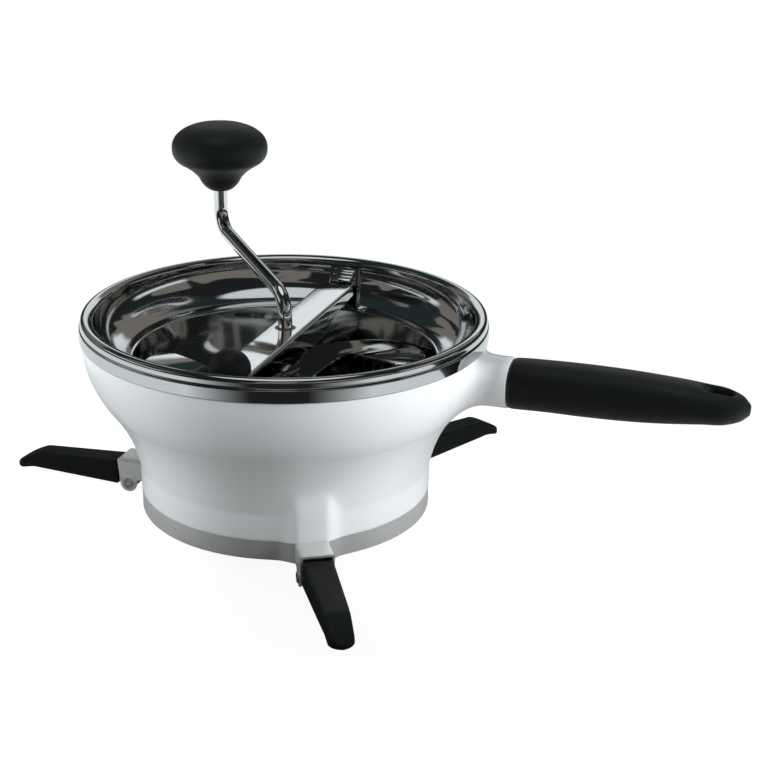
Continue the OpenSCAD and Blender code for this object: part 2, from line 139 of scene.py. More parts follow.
def grid_faces(rings, around, close_rings=False, close_around=True):
    """Quads between `rings` loops of `around` points."""
    faces = []
    for i in range(rings if close_rings else rings - 1):
        for k in range(around if close_around else around - 1):
            a, b = i * around + k, i * around + (k + 1) % around
            c, d = ((i + 1) % rings) * around + (k + 1) % around, ((i + 1) % rings) * around + k
            faces.append((a, b, c, d))
    return faces


def loft(name, loops, close=False, sharp=35.0):
    """Skin over closed loops of equal length, with the ends capped or joined to each other."""
    count = len(loops[0])
    faces = grid_faces(len(loops), count, close_rings=close)
    if not close:
        faces.append(tuple(range(count)))
        faces.append(tuple(range((len(loops) - 1) * count, len(loops) * count)))
    return make_mesh(name, [p for loop in loops for p in loop], faces, sharp)


def directions(count):
    """Equal steps round a circle, in radians."""
    return np.linspace(0, 2 * math.pi, count, endpoint=False)


def lathe(name, profile, steps=96, centre=(0, 0), sharp=35.0):
    """Turns a closed (radius, height) outline about a vertical axis."""
    loops = [[(centre[0] + r * math.cos(a), centre[1] + r * math.sin(a), z) for r, z in profile]
             for a in directions(steps)]
    return loft(name, loops, close=True, sharp=sharp)


def rounded(points, radii, steps=5):
    """A closed outline with its corners rounded. `radii` is one radius or one per corner."""
    points = [np.array(p, float) for p in points]
    count = len(points)
    radii = [radii] * count if np.isscalar(radii) else radii
    out = []
    for i, p in enumerate(points):
        before, after = points[i - 1] - p, points[(i + 1) % count] - p
        lb, la = np.linalg.norm(before), np.linalg.norm(after)
        u, v = before / lb, after / la
        half = math.acos(np.clip(u @ v, -1, 1)) / 2
        if radii[i] <= 0 or half > math.pi / 2 - 0.02:
            out.append(p)
            continue
        reach = min(radii[i] / math.tan(half), 0.49 * lb, 0.49 * la)
        start, end = p + u * reach, p + v * reach
        for k in range(steps + 1):
            t = k / steps
            out.append((1 - t) ** 2 * start + 2 * t * (1 - t) * p + t * t * end)
    return out


def bezier(p, q, r, steps):
    """Points along a quadratic curve from p to r, drawn towards q."""
    p, q, r = (np.array(v, float) for v in (p, q, r))
    points = [(1 - t) ** 2 * p + 2 * t * (1 - t) * q + t * t * r for t in np.linspace(0, 1, steps + 1)]
    return [tuple(point) for point in points]


def arc(cx, cy, rx, ry, start, end, steps):
    """Points along an elliptical arc, with its ends in degrees."""
    angles = np.radians(np.linspace(start, end, steps + 1))
    return [(cx + rx * math.cos(a), cy + ry * math.sin(a)) for a in angles]


def smooth_max(a, b, k):
    return (a + b + np.sqrt((a - b) ** 2 + k * k)) / 2


def smooth_step(lo, hi, x):
    t = np.clip((np.asarray(x, float) - lo) / (hi - lo), 0, 1)
    return t * t * (3 - 2 * t)


def turned(points, degrees):
    """Points turned about a vertical axis."""
    a = math.radians(degrees)
    c, s = math.cos(a), math.sin(a)
    return [(x * c - y * s, x * s + y * c, z) for x, y, z in points]


def lay_along_y(piece, point, degrees=0):
    """Tips a turned piece over to lie along Y at a point, then turns it about the Z axis."""
    place = Matrix.Translation(Vector(point) * MM) @ Matrix.Rotation(math.pi / 2, 4, "X")
    piece.data.transform(Matrix.Rotation(math.radians(degrees), 4, "Z") @ place)


def edge_steps(edge):
    """Steps (inset, rise) round a small rounded edge, from the flat face to the side."""
    return [(edge * (1 - math.sin(t)), edge * (1 - math.cos(t))) for t in np.linspace(0, math.pi / 2, 4)]


def prism(name, outline, place, depth, edge):
    """A plate from a closed outline, with rounded edges.

    place(u, v, w) gives the point in space for outline u, v and depth w.
    """
    outline = np.array(outline, float)
    last = np.roll(outline, 1, 0)
    if (last[:, 0] * outline[:, 1] - outline[:, 0] * last[:, 1]).sum() < 0:
        outline = outline[::-1]
    ahead = np.roll(outline, -1, 0) - outline
    behind = outline - np.roll(outline, 1, 0)
    ahead /= np.linalg.norm(ahead, axis=1)[:, None]
    behind /= np.linalg.norm(behind, axis=1)[:, None]
    tangent = ahead + behind
    tangent /= np.linalg.norm(tangent, axis=1)[:, None]
    inward = np.stack([-tangent[:, 1], tangent[:, 0]], 1)
    steps = edge_steps(edge)
    layers = [(inset, -depth / 2 + rise) for inset, rise in steps]
    layers += [(inset, depth / 2 - rise) for inset, rise in steps[::-1]]
    return loft(name, [[place(u, v, w) for u, v in outline + inward * inset] for inset, w in layers])


def strip(path, thickness):
    """Closed outline of a bent strip of sheet along an open path."""
    path = np.array(path, float)
    tangent = np.gradient(path, axis=0)
    tangent /= np.linalg.norm(tangent, axis=1)[:, None]
    normal = np.stack([-tangent[:, 1], tangent[:, 0]], 1) * thickness / 2
    return list(path + normal) + list((path - normal)[::-1])


def sweep(name, path, radii, sides):
    """A round bar along an open path, with one radius per point."""
    path = np.array(path, float)
    tangent = np.gradient(path, axis=0)
    tangent /= np.linalg.norm(tangent, axis=1)[:, None]
    side = np.cross(tangent[0], (0.31, 0.95, 0.05))
    loops = []
    for i, r in enumerate(radii):
        side = side - tangent[i] * (side @ tangent[i])
        side /= np.linalg.norm(side)
        other = np.cross(tangent[i], side)
        loops.append([path[i] + r * (math.cos(a) * side + math.sin(a) * other) for a in directions(sides)])
    return loft(name, loops)


def join(name, parts):
    """Several meshes as one piece."""
    for part in parts:
        part.select_set(False)
    with bpy.context.temp_override(active_object=parts[0], selected_editable_objects=parts,
                                   selected_objects=parts, object=parts[0]):
        bpy.ops.object.join()
    parts[0].name = name
    parts[0].data.name = name
    return parts[0]


def apply_modifiers(piece):
    evaluated = piece.evaluated_get(bpy.context.evaluated_depsgraph_get())
    mesh = bpy.data.meshes.new_from_object(evaluated)
    piece.modifiers.clear()
    piece.data = mesh
    return piece


def finish_piece(piece, body, material, node):
    """Gives a piece its material and body, and hides the CAD node that it stands for."""
    piece.data.materials.clear()
    piece.data.materials.append(material)
    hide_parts(node)
    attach(piece, body)


# ---------------------------------------------------------------- material helpers


class Graph:
    """A small wrapper that writes shader nodes as expressions."""

    def __init__(self, tree):
        self.tree = tree
        tree.nodes.clear()

    def node(self, kind, inputs=None, **settings):
        node = self.tree.nodes.new(kind)
        for key, value in settings.items():
            setattr(node, key, value)
        for key, value in (inputs or {}).items():
            self.put(node.inputs[key], value)
        return node

    def put(self, socket, value):
        if isinstance(value, bpy.types.NodeSocket):
            self.tree.links.new(value, socket)
        else:
            socket.default_value = value

    def math(self, operation, a, b=0.0):
        return self.node("ShaderNodeMath", {0: a, 1: b}, operation=operation).outputs[0]

    def add(self, a, b):
        return self.math("ADD", a, b)

    def times(self, a, b):
        return self.math("MULTIPLY", a, b)

    def place(self):
        return self.node("ShaderNodeTexCoord").outputs["Object"]

    def scaled(self, vector, scale):
        return self.node("ShaderNodeMapping", {"Vector": vector, "Scale": scale}).outputs[0]

    def noise(self, vector, scale, detail=3.0, rough=0.55, distortion=0.0):
        node = self.node("ShaderNodeTexNoise", {"Vector": vector, "Scale": scale, "Detail": detail,
                                                "Roughness": rough, "Distortion": distortion})
        return node.outputs["Fac"]

    def remap(self, value, a, b, low, high):
        node = self.node("ShaderNodeMapRange", {"Value": value, "From Min": a, "From Max": b,
                                                "To Min": low, "To Max": high})
        return node.outputs[0]

    def mix(self, factor, a, b):
        node = self.node("ShaderNodeMix", data_type="RGBA")
        for index, value in ((0, factor), (6, a), (7, b)):
            self.put(node.inputs[index], value)
        return node.outputs[2]

    def heading(self, x, y, tiny):
        """Distance from the Z axis, and the cosine and sine of the direction."""
        radius = self.math("SQRT", self.add(self.times(x, x), self.times(y, y)))
        safe = self.add(radius, tiny)
        return radius, self.math("DIVIDE", x, safe), self.math("DIVIDE", y, safe)

    def polar(self, around, across):
        """Coordinates that run round the Z axis, for turned and ring-brushed surfaces."""
        xyz = self.node("ShaderNodeSeparateXYZ", {0: self.place()})
        x, y, z = xyz.outputs
        radius, c, s = self.heading(x, y, 1e-5)
        out = self.node("ShaderNodeCombineXYZ", {
            0: self.add(self.times(c, around), self.times(radius, across)),
            1: self.times(s, around),
            2: self.times(z, across)})
        return out.outputs[0]

    def bump(self, height, strength, distance):
        node = self.node("ShaderNodeBump", {"Height": height, "Strength": strength, "Distance": distance})
        return node.outputs[0]


def surface(name, colour, rough, normal=None, constants=None, tangent=None):
    """colour and rough are functions of the graph that return sockets."""
    material = bpy.data.materials.new(name)
    material.use_nodes = True
    g = Graph(material.node_tree)
    shader = g.node("ShaderNodeBsdfPrincipled")
    g.put(shader.inputs["Base Color"], colour(g))
    g.put(shader.inputs["Roughness"], rough(g))
    for key, value in (constants or {}).items():
        shader.inputs[key].default_value = value
    if normal:
        g.put(shader.inputs["Normal"], normal(g))
    if tangent:
        g.put(shader.inputs["Tangent"], tangent(g))
    out = g.node("ShaderNodeOutputMaterial")
    g.tree.links.new(shader.outputs[0], out.inputs[0])
    return material


def tone(grey, tint=(1, 1, 1)):
    return (grey * tint[0], grey * tint[1], grey * tint[2], 1)


def varied(dark, light, scale, detail=3.0):
    return lambda g: g.mix(g.noise(g.place(), scale, detail), dark, light)


def noise_range(scale, low, high, detail=3.0):
    return lambda g: g.remap(g.noise(g.place(), scale, detail), 0.3, 0.7, low, high)


def gloss_plastic(name):
    """White moulded casing: glossy, with a faint orange peel and tiny tonal drift."""
    tint = (0.97, 0.99, 1)
    return surface(name, varied(tone(0.808, tint), tone(0.812, tint), 14), noise_range(60, 0.278, 0.286),
                   lambda g: g.bump(g.noise(g.place(), 260, 2), 0.02, 0.0006),
                   {"Coat Weight": 0.25, "Coat Roughness": 0.12})


def mirror_steel(name, grey, low, high, brush, ring=True, tint=(1, 1, 1)):
    """Polished sheet: fine polishing lines round the axis, and faint smudges."""
    def lines(g):
        vector = g.polar(6, 900) if ring else g.scaled(g.place(), (40, 900, 900))
        return g.noise(vector, 1.0, 4, 0.6)

    def rough(g):
        smudge = g.noise(g.place(), 35, 4, 0.6, 0.6)
        mixed = g.add(g.times(smudge, 0.6), g.times(lines(g), 0.4))
        return g.remap(mixed, 0.3, 0.7, low, high)

    def colour(g):
        return g.mix(g.noise(g.place(), 22, 3), tone(grey * 0.94, tint), tone(grey, tint))
    return surface(name, colour, rough, lambda g: g.bump(lines(g), brush, 0.0002),
                   {"Metallic": 1.0})


def brushed_steel(name, grey, low, high, ring=True, strength=0.25, metallic=1.0):
    """Satin steel with a visible grain."""
    def grain(g):
        vector = g.polar(3, 2600) if ring else g.scaled(g.place(), (120, 120, 2600))
        return g.noise(vector, 1.0, 5, 0.65)

    def colour(g):
        return g.mix(grain(g), tone(grey * 0.82, (1, 0.995, 0.98)), tone(grey, (1, 1, 0.99)))

    def rough(g):
        return g.remap(grain(g), 0.3, 0.7, low, high)

    def radial(g):
        return g.node("ShaderNodeTangent", direction_type="RADIAL", axis="Z").outputs[0]
    return surface(name, colour, rough, lambda g: g.bump(grain(g), strength, 0.0001),
                   {"Metallic": metallic, "Anisotropic": 0.55 if ring else 0.0}, radial if ring else None)


def soft_black(name, dark, light, grain, low, high, strength, sheen, gloss=0.34,
               red=0.8):
    """Black elastomer or nylon: fine moulded grain, dull sheen and handling marks."""
    def normal(g):
        cells = g.node("ShaderNodeTexVoronoi", {"Vector": g.place(), "Scale": grain}).outputs["Distance"]
        fine = g.noise(g.place(), grain * 0.6, 4, 0.6)
        return g.bump(g.add(g.times(cells, 0.6), fine), strength, 0.00025)

    def rough(g):
        return g.remap(g.noise(g.place(), 24, 5, 0.6, 0.8), 0.3, 0.7, low, high)
    return surface(name, varied(tone(dark, (red, 1, 1)), tone(light, (red, 1, 1)), 60, 5), rough, normal,
                   {"Sheen Weight": sheen, "Sheen Roughness": 0.45, "Specular IOR Level": gloss})


def metal_part(name, grey, low, high, tint=(1, 1, 1), scale=220):
    """Small plated or turned hardware."""
    def rough(g):
        return g.remap(g.noise(g.place(), scale, 4, 0.6), 0.3, 0.7, low, high)

    def colour(g):
        return g.mix(g.noise(g.place(), scale * 0.4, 3), tone(grey * 0.85, tint), tone(grey, tint))
    return surface(name, colour, rough, lambda g: g.bump(g.noise(g.place(), scale * 5, 3), 0.12, 0.0001),
                   {"Metallic": 1.0})


CASING = gloss_plastic("casing_white")
BOWL = mirror_steel("bowl_polish", 0.66, 0.04, 0.11, 0.012, tint=(0.985, 1, 1))
POLISH = mirror_steel("sheet_polish", 0.80, 0.03, 0.09, 0.02, ring=False)
ROD = mirror_steel("rod_chrome", 0.86, 0.02, 0.06, 0.01, ring=False)
BRUSHED = brushed_steel("ring_brushed", 0.80, 0.26, 0.40, metallic=0.62)
SATIN = brushed_steel("bracket_satin", 0.84, 0.24, 0.38, ring=False, strength=0.15, metallic=0.75)
HARDWARE = metal_part("hardware_plated", 0.58, 0.22, 0.38)
SPRING = metal_part("spring_wire", 0.42, 0.20, 0.34, (0.98, 1, 1), 500)
BUSHING = metal_part("bushing_sintered", 0.34, 0.38, 0.55, (1, 0.97, 0.9), 900)
GRIP = soft_black("grip_black", 0.0055, 0.0095, 2300, 0.44, 0.56, 0.30, 0.05)
LEG_RUBBER = soft_black("leg_black", 0.004, 0.007, 1900, 0.50, 0.62, 0.28, 0.0, 0.2)
NYLON = soft_black("nylon_black", 0.004, 0.008, 1500, 0.45, 0.55, 0.16, 0.02, red=0.85)

# ---------------------------------------------------------------- casing and ring


def casing_curve():
    """(height, radius) down the outside of the casing, from the seam to the foot."""
    bowl = arc(RIM_R - 99, SEAM_Z - 0.3, 98, 74, 0, -32, 24)
    skirt = bezier((RIM_R - 15.9, 62), (RIM_R - 27.5, 46), (RING_R + 0.3, 26), 24)
    foot = [(RING_R + 0.1, CASING_FOOT)]
    points = np.array(bowl + skirt[1:] + foot)
    return points[::-1, 1], points[::-1, 0]


CURVE_Z, CURVE_R = casing_curve()


def casing_radius(z):
    return np.interp(z, CURVE_Z, CURVE_R)


def lobe_radius(angle):
    """Radius of the flat-fronted fairing over a leg, in the direction `angle` (radians) from that leg."""
    angle = np.abs(angle)
    front_x, front_y = 87.5, 9.0  # corner of the flat front
    flank_x, flank_y = 80.5, 17.0  # foot of the sloping flank
    front = front_x / np.cos(np.minimum(angle, 1.2))
    n = np.array([flank_y - front_y, front_x - flank_x])
    n = n / np.linalg.norm(n)
    lean = math.atan2(n[1], n[0])
    flank = (n @ (front_x, front_y)) / np.cos(np.minimum(angle, lean) - lean)
    return -smooth_max(-front, -flank, 1.6)


def fairing_radius(theta):
    """The largest of the three fairings in each direction."""
    best = np.zeros_like(theta)
    for leg in LEG_ANGLES:
        away = (theta - math.radians(leg) + math.pi) % (2 * math.pi) - math.pi
        best = np.maximum(best, lobe_radius(away))
    return best


THETA = directions(720)
FAIRING = fairing_radius(THETA)
DOME_LOW, DOME_TOP = 22, 46
CASING_WALL = 2.6


def shell_loop(radius, z):
    """A loop about the Z axis; `radius` is a number or one per direction."""
    radii = np.broadcast_to(radius, THETA.shape)
    return [(r * math.cos(t), r * math.sin(t), z) for r, t in zip(radii, THETA)]


def fairing_at(z):
    """The fairing at one height: full over the bracket, and domed off towards its top."""
    rise = min(max((z - DOME_LOW) / (DOME_TOP - DOME_LOW), 0), 1)
    return np.minimum(FAIRING, RING_R - 1 + (FAIRING - RING_R + 1) * math.sqrt(1 - rise * rise))


def casing_outline(z):
    """Outer radius of casing and fairings in each direction, at one height."""
    return smooth_max(casing_radius(z), fairing_at(z), 2.2)


def build_casing():
    """Casing wall, from its rounded foot up the outside, over the seam and down the inside."""
    heights = np.concatenate([np.linspace(CASING_FOOT, 62, 52), np.linspace(63, SEAM_Z - 0.4, 30)])
    edge = 0.5
    foot = casing_outline(CASING_FOOT)
    loops = [shell_loop(foot - edge, CASING_FOOT), shell_loop(foot - edge * 0.3, CASING_FOOT + edge * 0.3)]
    loops += [shell_loop(casing_outline(z), z) for z in heights[1:]]
    seam_r, lip_r, lip_z = casing_radius(heights[-1]) - 0.4, RIM_R - 1.5, RIM_TOP - 7
    for r, z in ((seam_r, SEAM_Z), (lip_r, SEAM_Z), (lip_r, lip_z), (RIM_R - 4.2, lip_z)):
        loops.append(shell_loop(r, z))
    for z in np.linspace(SEAM_Z - 1, CASING_FOOT, 50):
        limit = max(casing_radius(z), RING_R) - CASING_WALL + 6
        loops.append(shell_loop(np.minimum(casing_outline(z) - CASING_WALL, limit), z))
    return loft("casing_body", loops, close=True)


def socket_section(grow=0.0, low=0.0, count=96):
    """Outline (y, z) of the handle socket: a rounded rectangle, grown by `grow`."""
    w, h = GRIP_W - 1, GRIP_H - 0.4
    r = h / 2 - 0.4
    cy, cz = w / 2 - r, h / 2 - r
    points = []
    for a in directions(count) + math.pi / count:
        c, s = math.cos(a), math.sin(a)
        y = math.copysign(cy, c) + (r + grow) * c
        z = math.copysign(cz, s) + (r + grow + (low if s < 0 else 0) * -s) * s
        points.append((y, HANDLE_Z - 0.8 + z))
    return points


def build_socket():
    """White socket that flows out of the casing and carries the grip."""
    reach = 13.0
    x_end = GRIP_X0 - 0.25
    top = SEAM_Z - 0.5
    wide, narrow = socket_section(reach, 6.0), socket_section()

    def casing_x(y, z):
        return math.sqrt(max(casing_radius(min(z, SEAM_Z)) ** 2 - y * y, 0))
    loops = []
    for step, t in enumerate(np.linspace(0, 1, 13)):
        loop = []
        for (y0, z0), (y1, z1) in zip(wide, narrow):
            z0, z1 = min(z0, top), min(z1, top)
            start = np.array([casing_x(y0, z0) - 0.15, y0, z0])
            corner = np.array([casing_x(y1, z1), y1, z1])
            room = min(reach, x_end - 1.2 - corner[0])
            end = corner + (room, 0, 0)
            loop.append((1 - t) ** 2 * start + 2 * t * (1 - t) * corner + t * t * end)
        if step == 0:
            loops.append([p - np.array([4.0, 0, 0]) for p in loop])
        loops.append(loop)
    for inset, back in ((0.0, 0.6), (0.15, 0.25), (0.6, 0.0)):
        rim = socket_section(-inset)
        loops.append([np.array([x_end - back, y, min(z, top - inset)]) for y, z in rim])
    return loft("casing_socket", loops)


def build_casing_piece():
    piece = join("outer_casing_skin", [build_casing(), build_socket()])
    finish_piece(piece, "mill", CASING, "outer_casing")


def build_ring():
    """Base ring with its flares, brushed, with small rounded edges."""
    outer = smooth_max(RING_R, FAIRING, 1.8)
    steps = edge_steps(0.45)
    loops = [shell_loop(outer - inset, rise) for inset, rise in steps]
    loops += [shell_loop(outer, z) for z in np.linspace(1.2, RING_H - 1.0, 10)]
    loops += [shell_loop(outer - inset, RING_H - rise) for inset, rise in steps[::-1]]
    step_r, flange, sheet = RING_R - 3.0, SEAT_UNDER - 0.15, 1.2
    for r, z in ((step_r, RING_H), (step_r, flange), (LIP_R + 0.3, flange), (LIP_R, flange - 0.3),
                 (LIP_R, flange - 0.9), (LIP_R + 0.3, flange - sheet), (step_r - sheet, flange - sheet),
                 (step_r - sheet, RING_H - sheet)):
        loops.append(shell_loop(r, z))
    for wall, z in ((1.6, RING_H - sheet), (1.6, 0.4), (1.3, 0.0)):
        loops.append(shell_loop(np.maximum(outer - wall, RING_R - 1.6), z))
    ring = loft("base_ring_skin", loops, close=True)
    finish_piece(ring, "mill", BRUSHED, "base_ring")


# ---------------------------------------------------------------- bowl


def build_bowl():
    """Pressed bowl: disc seat, steep cone, crease, rounded wall and rolled rim, all in one sheet."""
    mouth_z = RIM_TOP - 2.8
    span_r, span_z = MOUTH_R - CREASE_R, mouth_z - CREASE_Z
    inner = [(LIP_R, SEAT_Z)]
    inner += bezier((SEAT_R - 2, SEAT_Z), (SEAT_R, SEAT_Z), (SEAT_R, SEAT_Z + 2), 5)
    inner += [(SEAT_R, SEAT_Z + 5)]
    low, corner = np.array((SEAT_R, CONE_Z)), np.array((CREASE_R, CREASE_Z))
    length = np.linalg.norm(corner - low)
    cone = (corner - low) / length
    inner += [tuple(low + cone * s) for s in np.linspace(1, length - 1.2, 14)]
    shelf = corner + (1.4, 0.05)
    inner += bezier(corner - cone * 1.1, corner, shelf, 5)
    inner += [(CREASE_R + span_r * math.sin(a), CREASE_Z + span_z * (1 - math.cos(a)))
              for a in np.radians(np.linspace(8, 90, 26))]
    roll = arc(MOUTH_R + 4.4, mouth_z, 4.4, 2.8, 178, 92, 12)
    roll += arc(RIM_R - 3.6, RIM_TOP - 2.7, 2.7, 2.7, 88, 4, 10)
    roll += [(RIM_R - 0.85, RIM_TOP - 3.8)]
    tuck = (RIM_R - 0.3, RIM_TOP - 5.4)
    roll += bezier((RIM_R - 0.82, RIM_TOP - 4.4), (RIM_R - 0.75, RIM_TOP - 5.0), tuck, 4)
    roll += bezier(tuck, (RIM_R, RIM_TOP - 5.7), (RIM_R, RIM_TOP - 6.4), 4)[1:]
    roll += [(RIM_R, RIM_TOP - 9.5), (RIM_R, SEAM_Z + 0.5)]
    roll += arc(RIM_R - 0.45, SEAM_Z + 0.45, 0.45, 0.45, 0, -170, 6)
    outer = [(RIM_R - SHEET, RIM_TOP - 6), (RIM_R - 4, RIM_TOP - 2.2), (MOUTH_R + 2.5, RIM_TOP - 1.2),
             (MOUTH_R + SHEET, mouth_z)]
    under_z = CREASE_Z - SHEET
    outer += [(CREASE_R + (span_r + SHEET) * math.sin(a), under_z + (span_z + SHEET) * (1 - math.cos(a)))
              for a in np.radians(np.linspace(84, 12, 20))]
    outer += [(CREASE_R + SHEET, under_z), (SEAT_R + SHEET, CONE_Z), (SEAT_R + SHEET, SEAT_UNDER + 0.5),
              (SEAT_R + 0.5, SEAT_UNDER), (LIP_R, SEAT_UNDER)]
    bowl = lathe("inner_bowl_skin", inner + roll + outer, 256, sharp=50)
    finish_piece(bowl, "mill", BOWL, "inner_bowl")


# ---------------------------------------------------------------- crossbar and latch


def channel(stations, half_w, plate, bend, top, bottom):
    """Loops (s, t, z) of a folded sheet channel. top(s) and bottom(s) are its heights at station s."""
    loops = []
    for s in stations:
        zt, zb = top(s), bottom(s)
        inner = half_w - plate
        path = [(-half_w, zb), (-half_w, zt), (half_w, zt), (half_w, zb), (inner, zb), (inner, zt - plate),
                (-inner, zt - plate), (-inner, zb)]
        edge = min(0.3, plate / 3)
        section = rounded(path, [edge, bend, bend, edge, edge, bend - plate / 2, bend - plate / 2, edge], 5)
        loops.append([(s, t, z) for t, z in section])
    return loops


def build_crossbar():
    """Folded bar, deepest at the middle, with a tongue that reaches under the far hook."""
    end_y = BAR_HI[1] - 11
    depth_y = (0, 16, 30, 62, end_y)
    depth = (16, 16, 15, 8, 6)

    def bottom(s):
        around = np.linspace(-4, 4, 9)
        return BAR_Z - np.interp(np.abs(s + around), depth_y, depth).mean()
    stations = np.concatenate([[-end_y, -end_y + 0.15, -end_y + 0.4], np.linspace(-end_y + 2, end_y - 2, 60),
                               [end_y - 0.4, end_y - 0.15, end_y]])

    def top(s):
        from_end = end_y - abs(s)
        return BAR_Z - (0.3 - from_end if from_end < 0.3 else 0) * 0.8
    loops = channel(stations, BAR_W / 2, 1.2, 2.0, top, bottom)
    bar = loft("bar", [[(-t, s, z) for s, t, z in loop] for loop in loops])
    under = BAR_Z - 1.2
    bend, dip = (end_y - 1, under - 0.62), (end_y + 2.6, under - 1.5)
    path = [(end_y - 6, under - 0.62), bend]
    path += bezier(bend, (end_y + 1.2, under - 0.7), dip, 6)[1:]
    path += bezier(dip, (end_y + 4, under - 2.1), (end_y + 6, under - 1.1), 6)[1:]
    path += [(end_y + 10.8, under - 1.0)]
    tongue = prism("tongue", strip(path, 1.1), lambda u, v, w: (w, u, v), 14, 0.3)
    piece = join("crossbar_skin", [bar, tongue])
    finish_piece(piece, "mill", POLISH, "crossbar")


def build_bushing():
    bore, body_r, lip_r = ROD_R + FIT, 5.98, 4.9
    low, top = BAR_Z - 13, BAR_Z + 0.3
    profile = rounded([(bore, low), (body_r, low), (body_r, top - 0.2), (lip_r, top), (bore, top)],
                      [0.3, 0.5, 0.2, 0.1, 0.05])
    finish_piece(lathe("bar_bushing_skin", profile, 64), "mill", BUSHING, "bar_bushing")


def build_clips():
    """The far clip's wall tab and stepped hook, and the near clip's keeper."""
    wall_r = MOUTH_R - 1.1

    def tab(path, thickness=1.05, width=19):
        return prism("tab", strip(path, thickness), lambda u, v, w: (w, u, v), width, 0.3)
    hook = bezier((103.6, 108.9), (103.2, 107.6), (102.0, 107.5), 6)
    hook += bezier((100.6, 107.4), (99.8, 107.3), (99.4, 106.6), 5)
    hook += bezier((99.1, 105.9), (98.8, 105.5), (98.0, 105.4), 5)
    hook += bezier((95.6, 105.2), (94.6, 105.1), (94.1, 104.6), 5)
    wall = [(wall_r - 0.4, 110.0), (wall_r - 1.2, 107), (102.9, 104), (102.0, 101.4), (101.2, 99.6)]
    far = join("far_clip_skin", [tab(wall, 0.9), tab(hook, width=12.4)])
    finish_piece(far, "mill", POLISH, "far_clip")
    wall_near = [(-wall_r + 0.4, 110.0), (-wall_r + 1.3, 107), (-103.0, 104), (-101.6, 100.2)]
    wall_near += bezier((-101.6, 100.2), (-101.3, 99.2), (-99.8, 99.2), 5)[1:]
    wall_near += [(-97, 99.2), (-93.2, 99.2)]
    near = tab(wall_near, 1.0)
    near.name = "near_clip_skin"
    finish_piece(near, "mill", POLISH, "near_clip")


def domed_rivet(name, point):
    """Two low domes and a shank along Y."""
    half, dome, head_r, shank_r = 2.3, 0.9, 1.9, 1.45
    profile = [(0.0, -half - dome)] + arc(0, -half, head_r, dome, 270, 360, 6)[1:]
    profile += [(shank_r, -half), (shank_r, half)]
    profile += arc(0, half, head_r, dome, 0, 90, 6)
    rivet = lathe(name, profile, 32)
    lay_along_y(rivet, point)
    return rivet


def build_clip_rivets():
    lo, hi = box_mm("clip_rivets")
    inset = 3.1
    far = domed_rivet("far_rivet", (0, hi[1] - inset, 102.6))
    near = domed_rivet("near_rivet", (0, lo[1] + inset, 105.6))
    finish_piece(join("clip_rivets_skin", [far, near]), "mill", HARDWARE, "clip_rivets")


def build_release_knob():
    lo, hi = box_mm("release_knob")
    centre = ((lo[0] + hi[0]) / 2, (lo[1] + hi[1]) / 2)
    r = (hi[0] - lo[0]) / 2
    base = BAR_Z + 0.2
    height = hi[2] - base
    profile = [(0.01, base + 0.6), (r - 2.4, base + 0.6), (r - 1.6, base)]
    profile += bezier((r - 1.2, base), (r, base + 0.2), (r, base + 1.8), 6)
    profile += arc(0, base + 2.8, r, height - 2.8, 0, 89.5, 20)
    dome = lathe("dome", profile, 72, centre)
    stem = prism("stem", rounded([(-3.9, -3.9), (3.9, -3.9), (3.9, 3.9), (-3.9, 3.9)], 0.8),
                 lambda u, v, w: (u + centre[0], v + centre[1], w + BAR_Z - 2.2), 6.0, 0.3)
    finish_piece(join("release_knob_skin", [dome, stem]), "release", NYLON, "release_knob")


# ---------------------------------------------------------------- crank, blade, spring


def build_crank_rod():
    """Shaft, sloping arm and knob post in one bent rod."""
    slope = math.atan2(ARM_HIGH_Z - ARM_LOW_Z, CRANK_R)
    turn = math.pi / 2 - slope
    cut = ROD_BEND_R * math.tan(turn / 2)
    foot = box_mm("crank_rod")[0][2]
    low_c = np.array((ROD_BEND_R, ARM_LOW_Z - cut))
    high_c = np.array((CRANK_R - ROD_BEND_R, ARM_HIGH_Z + cut))
    path = [(0, foot), (0, foot + 0.4), (0, 60), (0, ARM_LOW_Z - cut - 0.5)]
    for centre, start, end in ((low_c, math.pi, math.pi - turn), (high_c, -turn, 0)):
        path += [tuple(centre + ROD_BEND_R * np.array((math.cos(a), math.sin(a))))
                 for a in np.linspace(start, end, 16)]
    path += [(CRANK_R, KNOB_Z), (CRANK_R, POST_TOP - 0.5), (CRANK_R, POST_TOP)]
    points = [(s * math.cos(CRANK_ANGLE), s * math.sin(CRANK_ANGLE), z) for s, z in path]
    radii = [ROD_R] * len(points)
    radii[0] = radii[-1] = ROD_R - 0.5
    rod = sweep("crank_rod_skin", points, radii, 48)
    finish_piece(rod, "crank", ROD, "crank_rod")


HUB_R = 8.9
HUB_PIN_Z = 40


def build_hub():
    lo, hi = box_mm("blade_hub")
    top, foot = hi[2], lo[2]
    profile = rounded([(ROD_R + TIGHT, foot), (HUB_R, foot), (HUB_R, top - 2), (hi[0], top - 2), (hi[0], top),
                       (ROD_R + TIGHT, top)], [0.2, 1.2, 2.0, 0.5, 0.5, 0.3], 6)
    finish_piece(lathe("blade_hub_skin", profile, 72), "crank", HARDWARE, "blade_hub")
    profile = rounded([(0.01, -HUB_R + 0.1), (1.5, -HUB_R + 0.1), (1.5, HUB_R - 0.1), (0.01, HUB_R - 0.1)],
                      [0, 0.4, 0.4, 0], 4)
    pin = lathe("hub_pin_skin", profile, 32)
    lay_along_y(pin, (0, 0, HUB_PIN_Z))
    finish_piece(pin, "crank", HARDWARE, "hub_pin")


def wall_radius(z):
    """Radius of the inside of the bowl's cone at height z."""
    return SEAT_R + np.clip(z - CONE_Z, 0, None) * (CREASE_R - SEAT_R) / (CREASE_Z - CONE_Z)


BLADE_SHEET = 1.1
BLADE_FOOT = box_mm("blade")[0][2]
BLADE_TOP = box_mm("blade")[1][2] - BLADE_SHEET


